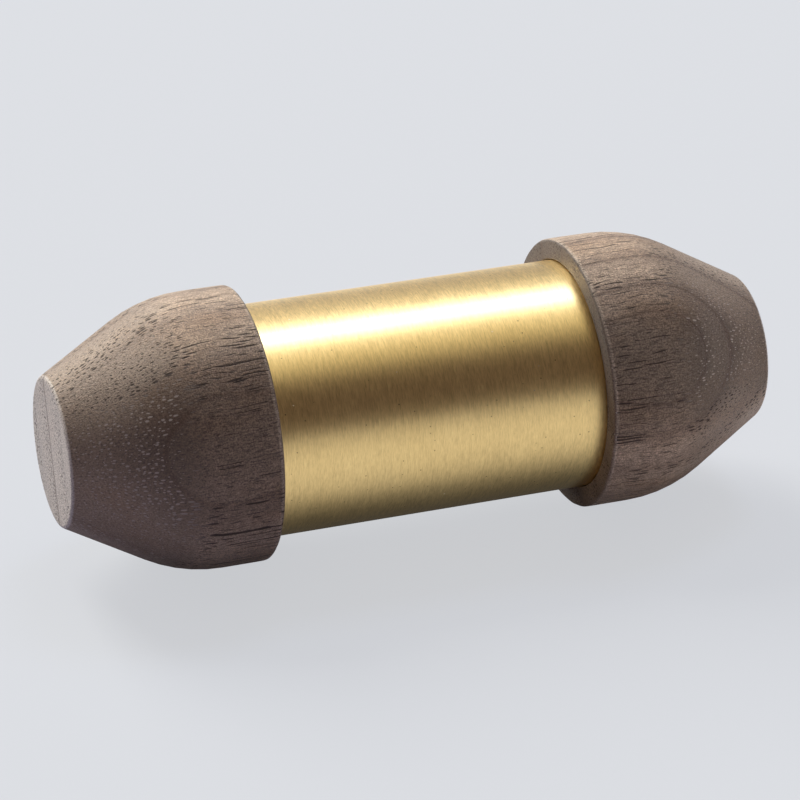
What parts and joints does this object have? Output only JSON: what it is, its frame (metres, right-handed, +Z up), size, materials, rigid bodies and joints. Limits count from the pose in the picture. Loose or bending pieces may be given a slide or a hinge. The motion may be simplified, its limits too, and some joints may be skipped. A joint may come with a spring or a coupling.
{
  "type": "tubular hand shaker",
  "caption": "Hand-held tubular shaker: a satin brass tube closed at both ends by turned walnut caps with tapered, flat noses, with loose steel shot inside.",
  "frame": {"origin": "middle of the tube, on its axis", "axes": "+X along the tube's axis towards the right cap, +Z up with the shaker lying on its caps"},
  "size_m": [0.11, 0.0414, 0.0414],
  "materials": {
    "brass": "satin",
    "walnut": "satin",
    "shot_steel": "satin"
  },
  "bodies": {
    "shell": {"brass_tube": "brass", "left_cap": "walnut", "right_cap": "walnut"},
    "shot_01": {"shot_01": "shot_steel"},
    "shot_02": {"shot_02": "shot_steel"},
    "shot_03": {"shot_03": "shot_steel"},
    "shot_04": {"shot_04": "shot_steel"},
    "shot_05": {"shot_05": "shot_steel"},
    "shot_06": {"shot_06": "shot_steel"},
    "shot_07": {"shot_07": "shot_steel"},
    "shot_08": {"shot_08": "shot_steel"},
    "shot_09": {"shot_09": "shot_steel"},
    "shot_10": {"shot_10": "shot_steel"},
    "shot_11": {"shot_11": "shot_steel"},
    "shot_12": {"shot_12": "shot_steel"},
    "shot_13": {"shot_13": "shot_steel"},
    "shot_14": {"shot_14": "shot_steel"},
    "shot_15": {"shot_15": "shot_steel"},
    "shot_16": {"shot_16": "shot_steel"},
    "shot_17": {"shot_17": "shot_steel"},
    "shot_18": {"shot_18": "shot_steel"},
    "shot_19": {"shot_19": "shot_steel"}
  },
  "joints": [
    {"name": "shot_01_swing", "type": "hinge", "parent": "shell", "child": "shot_01", "pos_m": [0, 0, 0], "axis": [1, 0, 0], "continuous": true},
    {"name": "shot_02_swing", "type": "hinge", "parent": "shell", "child": "shot_02", "pos_m": [0, 0, 0], "axis": [1, 0, 0], "continuous": true},
    {"name": "shot_03_swing", "type": "hinge", "parent": "shell", "child": "shot_03", "pos_m": [0, 0, 0], "axis": [1, 0, 0], "continuous": true},
    {"name": "shot_04_swing", "type": "hinge", "parent": "shell", "child": "shot_04", "pos_m": [0, 0, 0], "axis": [1, 0, 0], "continuous": true},
    {"name": "shot_05_swing", "type": "hinge", "parent": "shell", "child": "shot_05", "pos_m": [0, 0, 0], "axis": [1, 0, 0], "continuous": true},
    {"name": "shot_06_swing", "type": "hinge", "parent": "shell", "child": "shot_06", "pos_m": [0, 0, 0], "axis": [1, 0, 0], "continuous": true},
    {"name": "shot_07_swing", "type": "hinge", "parent": "shell", "child": "shot_07", "pos_m": [0, 0, 0], "axis": [1, 0, 0], "continuous": true},
    {"name": "shot_08_swing", "type": "hinge", "parent": "shell", "child": "shot_08", "pos_m": [0, 0, 0], "axis": [1, 0, 0], "continuous": true},
    {"name": "shot_09_swing", "type": "hinge", "parent": "shell", "child": "shot_09", "pos_m": [0, 0, 0], "axis": [1, 0, 0], "continuous": true},
    {"name": "shot_10_swing", "type": "hinge", "parent": "shell", "child": "shot_10", "pos_m": [0, 0, 0], "axis": [1, 0, 0], "continuous": true},
    {"name": "shot_11_swing", "type": "hinge", "parent": "shell", "child": "shot_11", "pos_m": [0, 0, 0], "axis": [1, 0, 0], "continuous": true},
    {"name": "shot_12_swing", "type": "hinge", "parent": "shell", "child": "shot_12", "pos_m": [0, 0, 0], "axis": [1, 0, 0], "continuous": true},
    {"name": "shot_13_swing", "type": "hinge", "parent": "shell", "child": "shot_13", "pos_m": [0, 0, 0], "axis": [1, 0, 0], "continuous": true},
    {"name": "shot_14_swing", "type": "hinge", "parent": "shell", "child": "shot_14", "pos_m": [0, 0, 0], "axis": [1, 0, 0], "continuous": true},
    {"name": "shot_15_swing", "type": "hinge", "parent": "shell", "child": "shot_15", "pos_m": [0, 0, 0], "axis": [1, 0, 0], "continuous": true},
    {"name": "shot_16_swing", "type": "hinge", "parent": "shell", "child": "shot_16", "pos_m": [0, 0, 0], "axis": [1, 0, 0], "continuous": true},
    {"name": "shot_17_swing", "type": "hinge", "parent": "shell", "child": "shot_17", "pos_m": [0, 0, 0], "axis": [1, 0, 0], "continuous": true},
    {"name": "shot_18_swing", "type": "hinge", "parent": "shell", "child": "shot_18", "pos_m": [0, 0, 0], "axis": [1, 0, 0], "continuous": true},
    {"name": "shot_19_swing", "type": "hinge", "parent": "shell", "child": "shot_19", "pos_m": [0, 0, 0], "axis": [1, 0, 0], "continuous": true}
  ]
}
